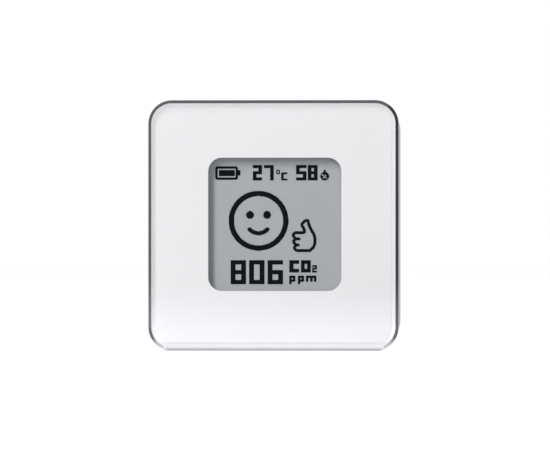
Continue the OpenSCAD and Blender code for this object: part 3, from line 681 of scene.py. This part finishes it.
# Humidity sign: a drop with a light percent sign.
DROP = Vector((180.5, 22.2))
DROP_R = 7.2
DROP_TIP_Y = 10.8
DROP_SLOPE = 0.62
PERCENT_LINE = Vector((178.3, 24.8)), Vector((182.7, 20.4))
PERCENT_HALF = 0.8
PERCENT_DOTS = Vector((177.4, 20.4)), Vector((183.2, 25.2))
PERCENT_DOT_R = 1.3
drop_low, drop_high = Vector((DROP.x - DROP_R, DROP_TIP_Y)), Vector((DROP.x + DROP_R, DROP.y + DROP_R))
disc(DROP, DROP_R)
ink(drop_low, drop_high, lambda x, y: abs(x - DROP.x) < (y - DROP_TIP_Y) * DROP_SLOPE and y < DROP.y)
clear(drop_low, drop_high, lambda x, y: to_path(x, y, PERCENT_LINE) < PERCENT_HALF)
for dot in PERCENT_DOTS:
    clear(drop_low, drop_high, lambda x, y: (Vector((x, y)) - dot).length < PERCENT_DOT_R)

# Smiling face: a ring, two eyes and a mouth about the same middle.
FACE = Vector((73.3, 94.2))
FACE_R, FACE_HOLE = 48.5, 39.8
EYE_SIDE, EYE_UP, EYE_R = 13.8, 9.4, 6.5
MOUTH_R = 20.1
MOUTH_LINE = 7.0
MOUTH_SWEEP = [math.radians(a) for a in range(44, 137, 4)]
disc(FACE, FACE_R, FACE_HOLE)
for side in (-1, 1):
    disc(FACE + Vector((side * EYE_SIDE, -EYE_UP)), EYE_R)
line(MOUTH_LINE, *[FACE + MOUTH_R * Vector((math.cos(a), math.sin(a))) for a in MOUTH_SWEEP])

# Raised thumb: one outline, with two creases between the fingers.
THUMB_LINE = 5
FINGER_LINE = 4.6
THUMB = ((147.7, 110.1), (145.3, 104.3), (143.2, 101), (144.3, 98.6), (147.8, 94.8), (151.1, 93.6),
         (153.4, 94.4), (154.4, 99), (156.3, 104.3), (159.8, 110.8), (163.2, 116.9), (164.5, 122.9),
         (164.4, 131), (162.1, 137.5), (156.6, 142.4), (137.2, 142.8), (132.6, 140.7), (131.5, 137.7),
         (133.9, 133.5), (130.4, 129.6), (129.9, 126.7), (133.3, 123.4), (129.9, 119.2), (129.7, 116.3),
         (133, 113.7), (144.3, 113.9), (147.2, 112.7), (147.7, 110.1))
FINGERS = ((133.9, 133.5), (137.8, 133.5)), ((133.3, 123.4), (139.3, 123.6))
line(THUMB_LINE, *THUMB)
for crease in FINGERS:
    line(FINGER_LINE, *crease)

marks = bmesh.new()
bmesh.ops.create_grid(marks, x_segments=DOTS, y_segments=DOTS, size=DOTS * DOT / 2)
bare = []
for face in marks.faces:
    spot = face.calc_center_median()
    column = math.floor(spot.x / DOT + DOTS / 2)
    row = math.floor(DOTS / 2 - spot.y / DOT)
    if (column, row) not in inked:
        bare.append(face)
bmesh.ops.delete(marks, geom=bare, context="FACES")
thicken(marks, INK_THICK)
film_middle = (film_low + film_high) / 2
stand_at(marks, Vector((film_middle.x + PICTURE_SIDE, film_low.y, film_middle.z)))
black_dots = matt_finish("black_dots", light=(0.008, 0.010, 0.013), dark=(0.005, 0.0065, 0.009),
                         rough=(0.5, 0.6), scales=(9000, 200), plain=NO_GLOSS)
add_piece("display_marks", marks, [black_dots])

# The display's glass and ribbon: thin glass under the film, and an amber ribbon bonded to its foot.
# The ribbon's copper lanes run down, round a bend and up into the connector on the main board.
LANE_PITCH = 0.5 * MM
LANE_RISE = 0.03 * MM
LANE_STRENGTH = 0.4
LANE_COPPER = (0.60, 0.33, 0.12)
display_glass = matt_finish("display_glass", light=(0.10, 0.13, 0.12), dark=(0.08, 0.10, 0.10),
                            rough=(0.05, 0.12), scales=(800, 60))
dress(display_glass, "display_panel")
ribbon, tree, shader = start_material("ribbon")
fine, broad = add_grain(tree, fine=4000, broad=300)
lane = combine(tree, "PINGPONG", place_on(tree)["X"], LANE_PITCH / 2)
in_lane = combine(tree, "GREATER_THAN", lane, LANE_PITCH / 4)
amber = blend_colour(tree, broad, (0.36, 0.15, 0.025), (0.44, 0.20, 0.04))
set_colour(tree, shader, blend_colour(tree, in_lane, amber, LANE_COPPER))
set_rough(tree, shader, fine, low=0.28, high=0.42)
add_bump(tree, shader, in_lane, LANE_RISE, LANE_STRENGTH)
dress(ribbon, "display_flex")
connector_plastic = matt_finish("connector_plastic", light=(0.78, 0.74, 0.62), dark=(0.72, 0.68, 0.57),
                                rough=(0.45, 0.6), scales=(4000, 200), bump=0.01 * MM)
dress(connector_plastic, "flex_connector")

# The circuit boards: glass-fibre laminate under a green lacquer, with copper tracks that stand up a
# little through it and tinned via rings. Four screws hold the main board to the front frame.
BLACK = (0, 0, 0, 1)
TRACK_SCALE = 420
TRACK_WIDTH = 0.06
TRACK_RISE = 0.03 * MM
TRACK_GREEN = (0.035, 0.16, 0.06)
VIA_SCALE = 600
VIA_R = 0.13
VIA_TIN = (0.62, 0.60, 0.55)
board, tree, shader = start_material("board")
fine, broad = add_grain(tree, fine=5000, broad=200)
track_place = add_node(tree, "Mapping", {"Vector": add_node(tree, "TexCoord").outputs["Object"],
                                         "Rotation": (math.radians(90), 0, 0)}).outputs[0]
on_track = add_node(tree, "TexBrick", {
    "Vector": track_place, "Scale": TRACK_SCALE, "Mortar Size": TRACK_WIDTH,
    "Color1": BLACK, "Color2": BLACK, "Mortar": WHITE}).outputs["Color"]
vias = add_node(tree, "TexVoronoi", {"Vector": track_place, "Scale": VIA_SCALE})
is_via = combine(tree, "LESS_THAN", vias.outputs["Distance"], VIA_R)
lacquer = blend_colour(tree, broad, (0.012, 0.075, 0.030), (0.018, 0.095, 0.040))
tracked = blend_colour(tree, on_track, lacquer, TRACK_GREEN)
set_colour(tree, shader, blend_colour(tree, is_via, tracked, VIA_TIN))
tree.links.new(is_via, shader.inputs["Metallic"])
set_rough(tree, shader, fine, low=0.22, high=0.38)
add_bump(tree, shader, on_track, TRACK_RISE)
dress(board, "main_board", "co2_board")


def metal_finish(name, light, dark, rough, scales, bump=0):
    """Bare or plated metal: two tones in blotches and a fine drawn grain."""
    return matt_finish(name, light, dark, rough, scales, bump, {"Metallic": 1.0})


screw_steel = metal_finish("screw_steel", light=(0.58, 0.58, 0.57), dark=(0.50, 0.50, 0.49),
                           rough=(0.26, 0.40), scales=(3500, 500))
dress(screw_steel, "board_screws")

# The parts on the main board: chips in black moulding compound and a radio module under a tinned can,
# all soldered to the board.
chip = matt_finish("chip", light=(0.022, 0.022, 0.024), dark=(0.014, 0.014, 0.015), rough=(0.55, 0.7),
                   scales=(7000, 300), bump=0.01 * MM)
dress(chip, "board_components")
tinned_steel = metal_finish("tinned_steel", light=(0.70, 0.69, 0.67), dark=(0.62, 0.61, 0.60),
                            rough=(0.22, 0.36), scales=(2500, 180))
dress(tinned_steel, "radio_module")

# The gas and climate sensors: a gold-plated optical cell on its own board, its pins, the white membrane
# that lets air into it, and a small humidity sensor by the side vents.
gold_plate = metal_finish("gold_plate", light=(0.86, 0.62, 0.25), dark=(0.78, 0.54, 0.20),
                          rough=(0.20, 0.34), scales=(3000, 160), bump=0.004 * MM)
dress(gold_plate, "co2_pins", "co2_cell")
filter_membrane = matt_finish("filter_membrane", light=(0.82, 0.82, 0.80), dark=(0.74, 0.74, 0.72),
                              rough=(0.8, 0.95), scales=(8000, 600), bump=0.03 * MM)
dress(filter_membrane, "co2_filter")
sensor_white = matt_finish("sensor_white", light=(0.80, 0.80, 0.78), dark=(0.76, 0.76, 0.74),
                           rough=(0.4, 0.55), scales=(6000, 300), bump=0.005 * MM)
dress(sensor_white, "humidity_sensor")

# The reset switch: a black tact switch on the board with its plunger, and the grey button above it.
# The button is turned to a flange that stays behind the wall and a dished cap for a fingertip.
BUTTON_R = 1.6 * MM
BUTTON_FLANGE = 1.0 * MM
BUTTON_ROUND = 0.14 * MM
BUTTON_STEPS = 64
DISH_R = 0.75 * BUTTON_R
DISH_DEEP = 0.18 * MM
DISH_STEPS = 4
ROUND_STEPS = 3
FULL_TURN = 2 * math.pi
switch_black = matt_finish("switch_black", light=(0.020, 0.020, 0.021), dark=(0.012, 0.012, 0.013),
                           rough=(0.4, 0.55), scales=(5000, 300), bump=0.008 * MM)
dress(switch_black, "tact_switch", "switch_plunger")


def spun(profile, steps):
    """A closed form turned about z, from points of a radius and a height between its two ends."""
    form = bmesh.new()
    points = [form.verts.new((radius, 0, height)) for radius, height in profile]
    edges = [form.edges.new(pair) for pair in zip(points, points[1:])]
    bmesh.ops.spin(form, geom=points + edges, cent=(0, 0, 0), axis=(0, 0, 1), dvec=(0, 0, 0),
                   angle=FULL_TURN, steps=steps, use_merge=True)
    clean_up(form)
    return form


button_low, button_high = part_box("reset_button")
button_middle = (button_low + button_high) / 2
flange_r = (button_high.x - button_low.x) / 2
button_tall = button_high.z - button_low.z
cap_profile = [(0, 0), (flange_r, 0), (flange_r, BUTTON_FLANGE), (BUTTON_R, BUTTON_FLANGE),
               (BUTTON_R, button_tall)]
for step in range(DISH_STEPS, -1, -1):
    share = step / DISH_STEPS
    cap_profile.append((DISH_R * share, button_tall - DISH_DEEP * (1 - share ** 2)))
cap = spun(cap_profile, BUTTON_STEPS)
bevel_edges(cap, sharp_edges(cap), BUTTON_ROUND, ROUND_STEPS)
bmesh.ops.translate(cap, vec=(button_middle.x, button_middle.y, button_low.z), verts=cap.verts[:])
button_grey = matt_finish("button_grey", light=(0.46, 0.46, 0.47), dark=(0.42, 0.42, 0.43),
                          rough=(0.4, 0.55), scales=(5000, 200), bump=0.008 * MM)
add_moulding("reset_cap", cap, [button_grey], "reset_button", ["reset_button"])

# The rear housing: the larger shell, moulded in the same white plastic. It holds the cells, has air
# slots in its sides and top and two keyholes for wall screws, and closes on the frame with four screws.
HOUSING_SHOWN = 0.3 * MM
_, housing_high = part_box("rear_housing")


def on_housing_outside(spot):
    """On the housing's outer walls or back."""
    return depth_in_body(spot) < HOUSING_SHOWN or spot.y > housing_high.y - HOUSING_SHOWN


rear_shell = softened_copy("rear_housing", MOULD_ROUND, on_housing_outside)
add_moulding("rear_shell", rear_shell, [white_plastic], stands_for=["rear_housing"])

# The vent screens: etched steel with square holes, glued inside the walls over the air slots to keep
# dust and insects out.
SCREEN_THICK = 0.25 * MM
SCREEN_PITCH = 0.6 * MM
SCREEN_WEB = 0.2 * MM
SIDE_SCREEN = Vector((6.2, 14.4)) * MM
TOP_SCREEN = Vector((12, 9.2)) * MM
TOP_SCREEN_X = 11 * MM
FACE_SIDEWAYS = Matrix(((0, 0, 1), (1, 0, 0), (0, 1, 0))).to_4x4()
screen_low, screen_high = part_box("vent_screens")
screens = bmesh.new()


def add_screen(size, place):
    """One etched screen, made flat and put in its place."""
    screen = bmesh.new()
    columns, rows = round(size.x / SCREEN_PITCH), round(size.y / SCREEN_PITCH)
    bmesh.ops.create_grid(screen, x_segments=columns, y_segments=rows, size=1,
                          matrix=Matrix.Diagonal((size.x / 2, size.y / 2, 1, 1)))
    holes = screen.faces[:]
    bmesh.ops.inset_individual(screen, faces=holes, thickness=SCREEN_WEB / 2, use_even_offset=True)
    bmesh.ops.delete(screen, geom=holes, context="FACES")
    thicken(screen, SCREEN_THICK)
    bmesh.ops.transform(screen, matrix=place, verts=screen.verts[:])
    holder = bpy.data.meshes.new("screen")
    screen.to_mesh(holder)
    screen.free()
    screens.from_mesh(holder)
    bpy.data.meshes.remove(holder)


side_middle = Vector((0, screen_low.y + SIDE_SCREEN.x / 2, screen_low.z + SIDE_SCREEN.y / 2))
top_middle = Vector((0, screen_low.y + TOP_SCREEN.y / 2, screen_high.z - SCREEN_THICK))
for left in (screen_low.x, screen_high.x - SCREEN_THICK):
    add_screen(SIDE_SCREEN, Matrix.Translation(side_middle + Vector((left, 0, 0))) @ FACE_SIDEWAYS)
for side in (-1, 1):
    add_screen(TOP_SCREEN, Matrix.Translation(top_middle + Vector((side * TOP_SCREEN_X, 0, 0))))
vent_mesh = metal_finish("vent_mesh", light=(0.34, 0.34, 0.35), dark=(0.26, 0.26, 0.27),
                         rough=(0.3, 0.45), scales=(3000, 400))
add_piece("air_screens", screens, [vent_mesh], stands_for=["vent_screens"])

# The cell contacts: nickel-plated spring steel, pressed to shape. The plates stand in the ends of the
# bay, and at each end a conical spring pushes the flat end of a cell.
SPRING_WIRE = 0.5 * MM
SPRING_LENGTH = 4.0 * MM
SPRING_BASE_R = 3.6 * MM
SPRING_TIP_R = 2.0 * MM
SPRING_CURLS = 3
CURL_STEPS = 32
WIRE_STEPS = 3
contact_nickel = metal_finish("contact_nickel", light=(0.72, 0.70, 0.66), dark=(0.64, 0.62, 0.58),
                              rough=(0.18, 0.32), scales=(2500, 250))
dress(contact_nickel, "contact_bridge", "contact_negative", "contact_positive")
spring_low, spring_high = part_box("battery_springs")
coils = bpy.data.curves.new("contact_coils", "CURVE")
coils.dimensions = "3D"
coils.bevel_depth = SPRING_WIRE / 2
coils.bevel_resolution = WIRE_STEPS
coils.use_fill_caps = True
coils.materials.append(contact_nickel)


def curl_point(share):
    """A point of a spring's path along +x, by its share of the curls."""
    radius = SPRING_BASE_R + (SPRING_TIP_R - SPRING_BASE_R) * share
    turn = FULL_TURN * SPRING_CURLS * share
    return Vector((SPRING_WIRE + (SPRING_LENGTH - 2 * SPRING_WIRE) * share,
                   radius * math.cos(turn), radius * math.sin(turn)))


curl_steps = CURL_STEPS * SPRING_CURLS
curl_path = [curl_point(step / curl_steps) for step in range(curl_steps + 1)]
curl_path = [Vector((0, *curl_path[0].yz)), *curl_path, Vector((SPRING_LENGTH, *curl_path[-1].yz))]
lower_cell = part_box("battery_lower")
upper_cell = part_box("battery_upper")
for foot, way, cell_box in ((spring_low.x, 1, lower_cell), (spring_high.x, -1, upper_cell)):
    axis = (cell_box[0] + cell_box[1]) / 2
    wire = coils.splines.new("POLY")
    wire.points.add(len(curl_path) - 1)
    for point, spot in zip(wire.points, curl_path):
        point.co = (foot + way * spot.x, axis.y + way * spot.y, axis.z + spot.z, 1)
contact_coils = bpy.data.objects.new("contact_coils", coils)
scene.collection.objects.link(contact_coils)
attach(contact_coils, "body")
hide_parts("battery_springs")

# The two cells: drawn steel cans in a shrunk printed sleeve, which folds over both ends. The plus end
# has a button in a grey sealing ring, and a copper-coloured band on the sleeve marks it.
CELL_BODY = 43.5 * MM
CELL_LONG = 44.5 * MM
CELL_R = 5.25 * MM
CELL_STEPS = 72
CELL_BUTTON_R = 1.9 * MM
CELL_FOLD = 4.5 * MM
CELL_SINK = 0.2 * MM
CELL_BAND = 9.0 * MM
CELL_ROUND = 0.3 * MM
SLEEVE, BAND, STEEL, SEAL = range(4)
CELL_PROFILE = ((STEEL, 0, CELL_SINK / 2), (STEEL, CELL_FOLD - CELL_SINK, CELL_SINK), (SLEEVE, CELL_FOLD, 0),
                (SLEEVE, CELL_R, 0), (BAND, CELL_R, CELL_BODY - CELL_BAND), (BAND, CELL_R, CELL_BODY),
                (SEAL, CELL_FOLD, CELL_BODY), (SEAL, CELL_FOLD - CELL_SINK, CELL_BODY - CELL_SINK),
                (STEEL, CELL_BUTTON_R, CELL_BODY - CELL_SINK), (STEEL, CELL_BUTTON_R, CELL_LONG),
                (STEEL, 0, CELL_LONG))
cell_finishes = [
    matt_finish("cell_sleeve", light=(0.045, 0.06, 0.085), dark=(0.035, 0.05, 0.07), rough=(0.22, 0.34),
                scales=(2000, 120), bump=0.004 * MM),
    metal_finish("cell_band", light=(0.70, 0.42, 0.24), dark=(0.64, 0.37, 0.20), rough=(0.25, 0.36),
                 scales=(2500, 150)),
    metal_finish("cell_steel", light=(0.72, 0.71, 0.69), dark=(0.64, 0.63, 0.61), rough=(0.18, 0.30),
                 scales=(3000, 300)),
    matt_finish("cell_seal", light=(0.18, 0.18, 0.19), dark=(0.14, 0.14, 0.15), rough=(0.5, 0.65),
                scales=(4000, 300), bump=0.005 * MM)]


def finish_at(radius, height):
    """The finish of the nearest stretch of the cell's profile, the lower one where two are as near."""
    best = (math.inf, SLEEVE)
    for (finish, *start), (_, *end) in zip(CELL_PROFILE, CELL_PROFILE[1:]):
        away = to_path(radius, height, [Vector(start), Vector(end)])
        best = min(best, (round(away / MERGE), finish))
    return best[1]


for name, node, way in (("cell_lower", "battery_lower", 1), ("cell_upper", "battery_upper", -1)):
    low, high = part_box(node)
    cell = spun([point[1:] for point in CELL_PROFILE], CELL_STEPS)
    bevel_edges(cell, sharp_edges(cell), CELL_ROUND, ROUND_STEPS)
    for face in cell.faces:
        middle = face.calc_center_median()
        face.material_index = finish_at(math.hypot(middle.x, middle.y), middle.z)
    flat_end = Vector((low.x if way > 0 else high.x, (low.y + high.y) / 2, (low.z + high.z) / 2))
    lie_down = Matrix.Rotation(math.radians(90 * way), 4, "Y")
    bmesh.ops.transform(cell, matrix=Matrix.Translation(flat_end) @ lie_down, verts=cell.verts[:])
    add_moulding(name, cell, cell_finishes, stands_for=[node])

# The battery door: a thin white plate that slides out to the right on two rails, with grip grooves and
# an engraved arrow, filled with grey paint, that points the way it opens.
ARROW_TIP_X = 9.0 * MM
ARROW_LONG = 4.6 * MM
ARROW_HALF = 3.2 * MM
ARROW_DEEP = 0.4 * MM
ARROW_DRAFT = 0.06 * MM
DOOR_SHOWN = 1.0 * MM
PAINTED = 1
door_low, door_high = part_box("battery_door")
door_middle_z = (door_low.z + door_high.z) / 2
arrow_tip = Vector((ARROW_TIP_X, door_high.y, door_middle_z))
arrow_ends = [arrow_tip + Vector((-ARROW_LONG, 0, side * ARROW_HALF)) for side in (-1, 1)]
arrow_sides = list(zip((arrow_tip, *arrow_ends), (*arrow_ends, arrow_tip)))


def on_door_face(spot):
    """On the flat outer face of the door."""
    return abs(spot.y - door_high.y) < MERGE


def on_door_outside(spot):
    """On the outer side of the door."""
    return spot.y > door_high.y - DOOR_SHOWN


def cut_arrow(form):
    """Cuts the arrow's three sides into the door's face, and sinks and paints what lies between them."""
    centre = (arrow_tip + arrow_ends[0] + arrow_ends[1]) / 3
    sides = [(start, (end - start).cross(Vector((0, 1, 0))).normalized()) for start, end in arrow_sides]
    for start, normal in sides:
        outer = [f for f in form.faces if all(on_door_face(v.co) for v in f.verts)]
        rim = {e for f in outer for e in f.edges}
        ends = {v for f in outer for v in f.verts}
        bmesh.ops.bisect_plane(form, geom=[*outer, *rim, *ends], dist=MERGE, plane_co=start,
                               plane_no=normal)
    sunk = []
    for face in form.faces:
        spot = face.calc_center_median()
        within = [(spot - start).dot(normal) * (centre - start).dot(normal) > 0 for start, normal in sides]
        if all(within) and all(on_door_face(v.co) for v in face.verts):
            sunk.append(face)
    bmesh.ops.inset_region(form, faces=sunk, thickness=ARROW_DRAFT, depth=-ARROW_DEEP, use_even_offset=True)
    for face in sunk:
        face.material_index = PAINTED


door_plate = softened_copy("battery_door", MOULD_ROUND, on_door_outside, cut_arrow)
arrow_paint = matt_finish("arrow_paint", light=(0.44, 0.44, 0.45), dark=(0.40, 0.40, 0.41),
                          rough=(0.45, 0.6), scales=(5000, 200), bump=0.01 * MM)
add_moulding("door_plate", door_plate, [white_plastic, arrow_paint], "battery_door",
             ["battery_door"])

# The case screws: four zinc-plated steel screws with a cross recess. They sit in wells in the back and
# hold the rear housing to the front frame.
SCREW_ROUND = 0.06 * MM
case_screws = softened_copy("case_screws", SCREW_ROUND, lambda spot: True)
add_moulding("case_screws_set", case_screws, [screw_steel], stands_for=["case_screws"])
